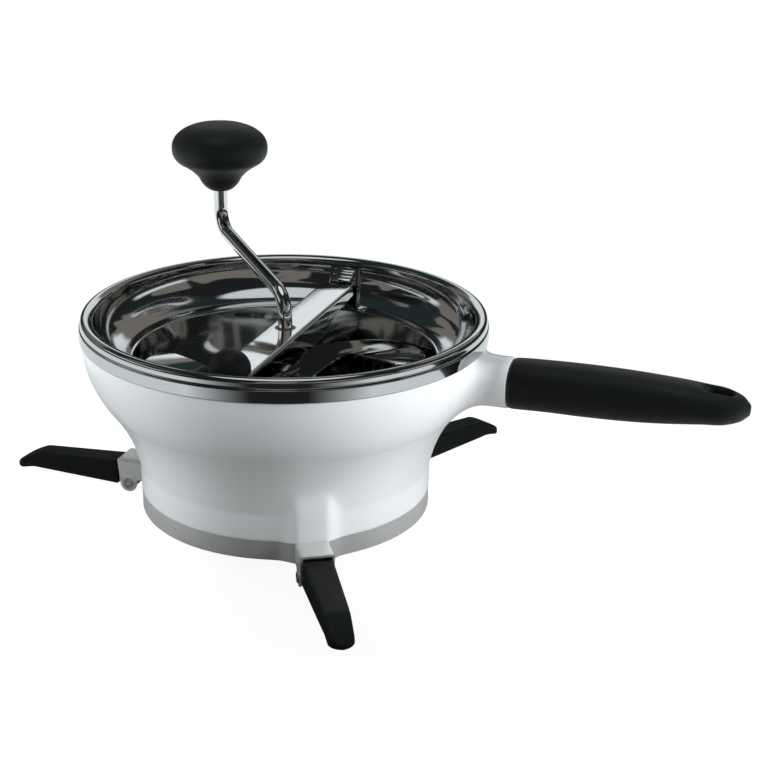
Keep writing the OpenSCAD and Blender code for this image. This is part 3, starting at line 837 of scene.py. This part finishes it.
def build_wing(name, start):
    """One swept wing: u runs from 0 at the disc to 1 at the raised leading edge."""
    sweep_angle = math.radians(170)
    u = np.linspace(0, 1, 73)
    v = np.linspace(0, 1, 25)
    rise = BLADE_FOOT + (BLADE_TOP - BLADE_FOOT) * (1 - (1 - u) ** 1.8)
    inner = HUB_R + 0.8 + 34 * smooth_step(0.45, 0.7, u) + 20 * np.clip((u - 0.85) / 0.15, 0, 1) ** 2
    outer = wall_radius(rise) - 3.2
    angle = math.radians(start) + sweep_angle * (1 - u)
    top, bottom = [], []
    for i in range(len(u)):
        corner = 9.0 * np.clip((u[i] - 0.9) / 0.1, 0, 1) ** 2
        for t in v:
            r = inner[i] + (outer[i] - corner - inner[i]) * t
            dish = 2.2 * math.sin(math.pi * t) * math.sin(math.pi * min(u[i] * 1.2, 1))
            inner_drop = (1 - t) ** 2 * 0.28 * (rise[i] - BLADE_FOOT) * (1 - smooth_step(0.45, 0.75, u[i]))
            z = rise[i] - dish - inner_drop
            top.append((r * math.cos(angle[i]), r * math.sin(angle[i]), z + BLADE_SHEET))
            bottom.append((r * math.cos(angle[i]), r * math.sin(angle[i]), z))
    rows, cols = len(u), len(v)
    faces = grid_faces(rows, cols, close_around=False)
    base = rows * cols
    faces += [tuple(base + k for k in reversed(f)) for f in faces]
    rim = [i * cols for i in range(rows)] + [(rows - 1) * cols + k for k in range(1, cols)]
    rim += [i * cols + cols - 1 for i in range(rows - 2, -1, -1)] + [k for k in range(cols - 2, 0, -1)]
    faces += [(rim[i], rim[(i + 1) % len(rim)], base + rim[(i + 1) % len(rim)], base + rim[i])
              for i in range(len(rim))]
    wing = make_mesh(name, top + bottom, faces, 50)
    bevel = wing.modifiers.new("edge", "BEVEL")
    bevel.width = 0.35 * MM
    bevel.segments = 3
    bevel.limit_method = "ANGLE"
    bevel.angle_limit = math.radians(50)
    return apply_modifiers(wing)


def build_blade():
    bore, wall, top = HUB_R + TIGHT, HUB_R + 1.6, BLADE_FOOT + 39
    outline = rounded([(bore, BLADE_FOOT), (wall, BLADE_FOOT), (wall, top), (bore, top)], 0.5)
    collar = lathe("collar", outline, 72)
    piece = join("blade_skin", [build_wing("wing_1", 12), build_wing("wing_2", 192), collar])
    finish_piece(piece, "crank", POLISH, "blade")


def build_spring_stack():
    """The two flat rings at the ends of the spring."""
    for node, body, bore in (("thrust_washer", "lift", ROD_R + FIT), ("spring_seat", "mill", ROD_R + 0.6)):
        lo, hi = box_mm(node)
        profile = rounded([(bore, lo[2]), (hi[0], lo[2]), (hi[0], hi[2]), (bore, hi[2])], 0.3)
        finish_piece(lathe(f"{node}_skin", profile, 72), body, HARDWARE, node)


# ---------------------------------------------------------------- hand knob and handle


def build_knob():
    """Hand knob: crown, full waist and a tapered neck, turned about its post."""
    k = KNOB_Z
    height = KNOB_TOP - k
    profile = [(5.5, k + 33.8), (0.01, k + 33.8), (0.01, k + height)]
    top = bezier((KNOB_R, k + 25), (KNOB_R + 0.2, k + 34.5), (15, k + height - 1.4), 18)
    crown = bezier((15, k + height - 1.4), (8, k + height), (0.01, k + height), 8)
    profile += crown[::-1][1:] + top[::-1][1:]
    profile += bezier((KNOB_R, k + 25), (KNOB_R, k + 18.6), (22.6, k + 15.6), 14)[1:]
    profile += bezier((22.6, k + 15.6), (16.2, k + 12.0), (12.8, k + 7.6), 10)[1:]
    profile += bezier((12.8, k + 7.6), (10.6, k + 2.6), (6.9, k + 0.4), 8)[1:]
    profile += [(6.2, k), (5.5, k + 0.4)]
    knob = lathe("knob_grip_skin", profile, 128, tuple(KNOB_XY), sharp=60)
    finish_piece(knob, "knob", GRIP, "knob_grip")


def grip_loops():
    """Cross-sections of the grip, from the socket to the tip."""
    x0, x1 = GRIP_X0, GRIP_X1
    xs = np.array([x0, x0 + 4, 150, 175, 207, 234, 248, x1 - 4, x1 - 0.5])
    width = np.array([GRIP_W - 1.4, GRIP_W - 1.0, GRIP_W - 0.4, GRIP_W, GRIP_W - 1, GRIP_W - 4, GRIP_W - 8.5,
                      GRIP_W - 17, 6])
    height = np.array([GRIP_H - 0.6, GRIP_H - 0.3, GRIP_H - 0.2, GRIP_H, GRIP_H - 2.2, 20.4, 17.0, 11.4, 5])
    middle = HANDLE_Z + np.array([-0.9, -0.7, -0.2, 0, 0.2, 0.6, 0.5, 0.4, 0.2])
    fine = np.concatenate([[x0, x0 + 0.25, x0 + 0.8], np.linspace(x0 + 2, x1 - 6, 60),
                           np.linspace(x1 - 5, x1 - 0.5, 14)])
    ring = [(math.cos(a), math.sin(a)) for a in directions(96)]
    power = 2.25  # squareness of the section
    round_end = 11  # length of the rounded tip
    loops = []
    for x in fine:
        w, h, m = (catmull(xs, values, x) for values in (width, height, middle))
        if x > x1 - round_end:
            t = (x - (x1 - round_end)) / round_end
            end = math.sqrt(max(1 - t * t, 0.0))
            w, h = min(w, 24 * end + 1.0), min(h, 17.6 * end + 1.0)
        inset = {0: 1.0, 1: 0.35, 2: 0.08}.get(len(loops), 0)
        loop = []
        for c, s in ring:
            y = math.copysign(abs(c) ** (2 / power), c) * (w / 2 - inset)
            z = math.copysign(abs(s) ** (2 / power), s) * (h / 2 - inset)
            loop.append((x, y, m + z))
        loops.append(loop)
    return loops


def catmull(xs, ys, x):
    """Smooth value through the stations (xs, ys) at x."""
    slope = np.gradient(ys, xs)
    i = int(np.clip(np.searchsorted(xs, x) - 1, 0, len(xs) - 2))
    h = xs[i + 1] - xs[i]
    t = (x - xs[i]) / h
    return float((1 + 2 * t) * (1 - t) ** 2 * ys[i] + t * (1 - t) ** 2 * h * slope[i]
                 + t * t * (3 - 2 * t) * ys[i + 1] + t * t * (t - 1) * h * slope[i + 1])


def hole_cutter():
    """Funnel-mouthed slot for the hanging hole."""
    first, last = 238.5, 246.0
    funnel = ((-16, 8.2), (-10.5, 7.0), (-8.2, 5.2), (-6.5, 4.3), (-3, 4.0),
              (3, 4.0), (6.5, 4.4), (8.2, 5.4), (10.5, 7.4), (16, 8.8))
    loops = []
    for z, r in funnel:
        loops.append([((last if math.cos(a) > 0 else first) + r * math.cos(a) * 0.8, r * math.sin(a),
                       HANDLE_Z + 0.5 + z) for a in directions(48)])
    return loft("cutter", loops)


def build_grip():
    grip = loft("handle_grip_skin", grip_loops())
    cutter = hole_cutter()
    cut = grip.modifiers.new("hole", "BOOLEAN")
    cut.operation, cut.object, cut.solver = "DIFFERENCE", cutter, "EXACT"
    remesh = grip.modifiers.new("skin", "REMESH")
    remesh.mode, remesh.voxel_size = "VOXEL", 0.62 * MM
    ease = grip.modifiers.new("ease", "SMOOTH")
    ease.factor, ease.iterations = 0.5, 7
    apply_modifiers(grip)
    bpy.data.objects.remove(cutter)
    shade(grip.data, 60)
    finish_piece(grip, "mill", GRIP, "handle_grip")


def build_handle_screw():
    """Screw with its recessed head underneath."""
    lo, hi = box_mm("handle_screw")
    z = lo[2]
    profile = [(0.01, z + 0.9), (1.3, z + 0.9), (1.5, z + 0.05)]
    profile += bezier((1.6, z), (2.9, z), (3.0, z + 1.2), 5)
    profile += [(1.55, z + 1.2), (1.55, hi[2] - 0.8), (1.0, hi[2]), (0.01, hi[2])]
    screw = lathe("handle_screw_skin", profile, 48, ((lo[0] + hi[0]) / 2, 0))
    finish_piece(screw, "mill", HARDWARE, "handle_screw")


# ---------------------------------------------------------------- legs


def leg_section(x, half, low, high, top_r, low_r, draft=0.5):
    """Closed (x, t, z) section of a leg cover: drafted sides, a wide chamfer on top, rounded below."""
    top_half = max(half - draft, 0.2)
    corners = [(-half, low), (half, low), (top_half, high), (-top_half, high)]
    limit = 0.45 * min(2 * top_half, high - low)
    radii = [min(low_r, limit), min(low_r, limit), min(top_r, limit), min(top_r, limit)]
    return [(x, t, z) for t, z in rounded(corners, radii, 6)]


def build_leg_cover(i, degrees):
    root, tip = BRACKET_END + 0.6, LEG_TIP
    end_r = 6.9
    ridge = 156.0
    rounded_tip = tip - end_r * (1 - np.sin(np.linspace(0.08, 1.52, 16)))
    xs = np.concatenate([[root, root + 0.2, root + 0.6], np.linspace(root + 2, ridge - 3, 24),
                         np.linspace(ridge - 2, tip - end_r, 16), rounded_tip])
    loops = []
    for x in xs:
        half = np.interp(x, [root, 150, tip - end_r], [8.7, 7.6, 7.0])
        if x > tip - end_r:
            half = min(half, math.sqrt(max(end_r ** 2 - (x - tip + end_r) ** 2, 0.0)) + 0.25)
        fall = np.clip((x - ridge) / (tip - ridge), 0, 1)
        blend = smooth_step(ridge - 3, ridge + 3, x)
        high = np.interp(x, [root, ridge], [10.0, 7.8]) - blend * (fall ** 1.35) * 9.3
        low = np.interp(x, [root, 160, 163, 169, tip], [-4.1, -2.1, -2.5, -3.8, -4.0])
        near_root = {0: 0.9, 1: 0.35, 2: 0.08}.get(len(loops), 0)
        loops.append(leg_section(x, half - near_root, low + near_root * 0.5, high - near_root, 1.9, 0.9))
    placed = [turned(loop, degrees) for loop in loops]
    piece = loft(f"leg_cover_{i}_skin", placed, sharp=50)
    finish_piece(piece, f"leg_{i}", LEG_RUBBER, f"leg_cover_{i}")


def build_bracket(i, degrees):
    """Folded hinge bracket: a channel with round ears about the pin."""
    ear_r = 5.2

    def bottom(x):
        if x < 91:
            return 0.0
        away = x - HINGE_R
        ear = HINGE_Z - math.sqrt(max(ear_r ** 2 - away ** 2, 0)) if abs(away) < ear_r else HINGE_Z
        if x < HINGE_R - ear_r * 0.98:
            return float(np.interp(x, [91, HINGE_R - ear_r * 0.98], [0.0, HINGE_Z + 0.6]))
        if x > HINGE_R + ear_r * 0.98:
            return float(np.interp(x, [HINGE_R + ear_r * 0.98, BRACKET_END], [HINGE_Z, BRACKET_TOP - 2.4]))
        return ear
    ear = np.linspace(HINGE_R - ear_r * 0.98, HINGE_R + ear_r * 0.98, 28)
    xs = np.concatenate([[84, 84.3], np.linspace(85, 90.9, 6), ear, np.linspace(102.3, BRACKET_END - 0.3, 8),
                         [BRACKET_END]])

    def top(x):
        left = BRACKET_END - x
        return BRACKET_TOP - 0.55 * (max(1.2 - left, 0) / 1.2) ** 2
    loops = channel(xs, 9.2, 1.2, 1.9, top, bottom)
    bracket = loft(f"leg_bracket_{i}_skin", [turned(loop, degrees) for loop in loops])
    finish_piece(bracket, "mill", SATIN, f"leg_bracket_{i}")


def build_leg_pin(i, degrees):
    """Tubular rivet with rolled heads."""
    head, neck, bore = 3.1, 2.0, 1.2
    half = 10.2
    side = [(bore, half - 1.6)] + bezier((bore, half - 0.6), (1.6, half), (2.1, half), 4)
    side += bezier((2.4, half), (head, half), (head, half - 0.5), 5)
    side += [(head, half - 0.8), (neck, half - 0.95)]
    profile = side + [(r, -z) for r, z in side[::-1]]
    pin = lathe(f"leg_pin_{i}_skin", profile, 40)
    lay_along_y(pin, (HINGE_R, 0, HINGE_Z), degrees)
    finish_piece(pin, "mill", HARDWARE, f"leg_pin_{i}")


# ---------------------------------------------------------------- camera, floor, light


def build_camera():
    data = bpy.data.cameras.new("camera")
    data.sensor_width = 36
    data.lens = 76.02
    data.dof.use_dof = False
    data.clip_start, data.clip_end = 0.01, 50
    camera = bpy.data.objects.new("camera", data)
    bpy.context.scene.collection.objects.link(camera)
    yaw = math.atan2(0.2974, 0.9548)
    pitch, roll = math.radians(-20.62), math.radians(0.964)
    turn = (Matrix.Rotation(yaw, 4, "Z") @ Matrix.Rotation(math.radians(90) + pitch, 4, "X")
            @ Matrix.Rotation(roll, 4, "Z"))
    camera.matrix_world = Matrix.Translation((0.3096, -0.8062, 0.3950)) @ turn
    bpy.context.scene.camera = camera
    return yaw


COOL = (0.955, 0.985, 1.0)


def area_light(name, position, target, size, energy):
    """A soft cool panel that lights surfaces but isn't mirrored in them."""
    data = bpy.data.lights.new(name, "AREA")
    data.shape = "RECTANGLE"
    data.size, data.size_y = size
    data.energy = energy
    data.color = COOL
    light = bpy.data.objects.new(name, data)
    bpy.context.scene.collection.objects.link(light)
    light.visible_glossy = False
    aim = Vector(target) - Vector(position)
    light.matrix_world = Matrix.Translation(position) @ aim.to_track_quat("-Z", "Y").to_matrix().to_4x4()


def band(g, value, low, high, soft):
    """1 between low and high, easing to 0 over `soft` on each side."""
    up = g.remap(value, low - soft, low + soft, 0, 1)
    down = g.remap(value, high - soft, high + soft, 1, 0)
    return g.times(up, down)


def build_world(yaw):
    """A dark studio: a bright panel behind, strips at the sides, a low sweep and dim warm patches.

    Directions are turned so that +Y is away from the camera and +X is to its right.
    """
    world = bpy.data.worlds.new("studio")
    bpy.context.scene.world = world
    world.use_nodes = True
    g = Graph(world.node_tree)
    direction = g.node("ShaderNodeTexCoord").outputs["Generated"]
    aligned = g.node("ShaderNodeMapping", {"Vector": direction, "Rotation": (0, 0, -yaw)}).outputs[0]
    x, y, z = g.node("ShaderNodeSeparateXYZ", {0: aligned}).outputs
    _, side, ahead = g.heading(x, y, 1e-4)
    back_panel = g.times(band(g, side, -0.34, 0.36, 0.06), band(g, z, 0.27, 0.43, 0.02))
    back_panel = g.times(back_panel, g.remap(ahead, 0.4, 0.5, 0, 1))
    not_front = g.remap(ahead, -0.97, -0.62, 0, 1)
    low_sides = g.times(not_front, g.remap(z, -0.16, -0.06, 1, 0))
    right_strip = g.times(band(g, side, 0.93, 1.1, 0.02), band(g, z, 0.14, 0.24, 0.02))
    left_strip = g.times(band(g, side, -1.1, -0.92, 0.02), band(g, z, 0.22, 0.36, 0.02))
    overhead = g.remap(z, 0.925, 0.945, 0, 1)
    high_sides = g.math("MAXIMUM", g.math("MAXIMUM", right_strip, left_strip), overhead)
    shapes = g.noise(direction, 1.9, 1.5, 0.4, 0.6)
    patches = g.times(g.remap(shapes, 0.55, 0.565, 0, 1), band(g, z, 0.10, 0.78, 0.03))
    dark = g.times(g.remap(ahead, 0, 0.5, 0, 1), g.remap(z, 0.2, 0.5, 0, 1))
    level = g.remap(dark, 0, 1, 0.018, 0.032)
    for shape, strength in ((back_panel, 0.92), (low_sides, 0.86), (high_sides, 0.85), (patches, 0.21)):
        level = g.math("MAXIMUM", level, g.times(shape, strength))
    warm = g.times(patches, g.remap(level, 0.23, 0.4, 1, 0))
    tint = g.mix(warm, (0.94, 1.0, 1.02, 1), (1.0, 0.93, 0.84, 1))
    teal = g.times(dark, g.remap(level, 0.04, 0.08, 1, 0))
    tint = g.mix(teal, tint, (0.62, 1.0, 1.02, 1))
    studio = g.node("ShaderNodeBackground", {"Color": tint, "Strength": level})
    white = g.node("ShaderNodeBackground", {"Color": (1, 1, 1, 1), "Strength": 1.0})
    seen = g.node("ShaderNodeLightPath").outputs["Is Camera Ray"]
    mixed = g.node("ShaderNodeMixShader", {0: seen, 1: studio.outputs[0], 2: white.outputs[0]})
    out = g.node("ShaderNodeOutputWorld")
    g.tree.links.new(mixed.outputs[0], out.inputs[0])


def build_floor(level):
    """A white round table top that fades out, so that no horizon shows.

    The camera sees it white. Matt surfaces get its bounce, which is weaker close in and in front.
    """
    radius, under = 900, level - 4
    floor = lathe("floor", [(0.01, level), (radius, level), (radius, under), (0.01, under)])
    material = bpy.data.materials.new("floor_white")
    material.use_nodes = True
    g = Graph(material.node_tree)
    place = g.node("ShaderNodeTexCoord").outputs["Object"]
    heading = g.node("ShaderNodeVectorMath", {0: place}, operation="NORMALIZE").outputs[0]
    facing = g.node("ShaderNodeVectorMath", {0: heading, 1: (0.297, -0.955, 0)}, operation="DOT_PRODUCT")
    shade_front = g.remap(facing.outputs["Value"], 0.55, 0.95, 0, 1)
    diffuse = g.node("ShaderNodeBsdfDiffuse", {"Color": g.mix(shade_front, tone(0.36), tone(0.07))})
    seen = g.node("ShaderNodeLightPath").outputs["Is Camera Ray"]
    reach = g.node("ShaderNodeVectorMath", {0: place}, operation="LENGTH").outputs["Value"]
    lights_matt = g.node("ShaderNodeLightPath").outputs["Is Diffuse Ray"]
    bounce = g.times(lights_matt, g.remap(reach, 0.11, 0.20, 0.0, 0.42))
    bounce = g.times(bounce, g.remap(facing.outputs["Value"], 0.35, 0.92, 1.7, 1.0))
    strength = g.add(g.times(seen, 0.93), bounce)
    glow = g.node("ShaderNodeEmission", {"Color": (1, 1, 1, 1), "Strength": strength})
    lit = g.node("ShaderNodeAddShader", {0: diffuse.outputs[0], 1: glow.outputs[0]})
    fade = g.remap(reach, 0.22, 0.32, 0, 1)
    clear = g.node("ShaderNodeBsdfTransparent")
    mixed = g.node("ShaderNodeMixShader", {0: fade, 1: lit.outputs[0], 2: clear.outputs[0]})
    out = g.node("ShaderNodeOutputMaterial")
    g.tree.links.new(mixed.outputs[0], out.inputs[0])
    floor.data.materials.append(material)


# ---------------------------------------------------------------- assembly

yaw = build_camera()
build_world(yaw)
build_floor(cad_box[0].z / MM)
area_light("left_panel", (-0.86, -0.40, 0.36), (0, 0, 0.05), (0.6, 0.6), 8.0)
area_light("right_panel", (1.06, -0.02, 0.36), (0.05, 0, 0.05), (0.6, 0.6), 14.0)
area_light("front_panel", (0.16, -0.80, 0.62), (0, 0, 0.05), (0.6, 0.4), 0.7)
bpy.context.scene.view_settings.view_transform = "Standard"

build_casing_piece()
build_ring()
build_bowl()
build_crossbar()
build_bushing()
build_clips()
build_clip_rivets()
build_release_knob()
build_crank_rod()
build_hub()
build_blade()
build_spring_stack()
build_knob()
build_grip()
build_handle_screw()
for number, degrees in enumerate(LEG_ANGLES, 1):
    build_leg_cover(number, degrees)
    build_bracket(number, degrees)
    build_leg_pin(number, degrees)

CAD_FINISH = {
    "base_screws": (HARDWARE, "hardware"),
    "grinding_disc": (POLISH, "polished_steel"),
    "latch_bolt": (SATIN, "hardware"),
    "latch_screw": (HARDWARE, "hardware"),
    "knob_core": (NYLON, "black_nylon"),
    "knob_ring": (SPRING, "spring_steel"),
    "handle_core": (NYLON, "black_nylon"),
    "bracket_rivets": (HARDWARE, "hardware"),
    "pressure_spring": (SPRING, "spring_steel"),
}
for number in range(1, len(LEG_ANGLES) + 1):
    CAD_FINISH[f"leg_arm_{number}"] = (HARDWARE, "hardware")
for node_name, (material, slot_name) in CAD_FINISH.items():
    part = NODES[node_name]
    part.data.materials.clear()
    part.data.materials.append(material)
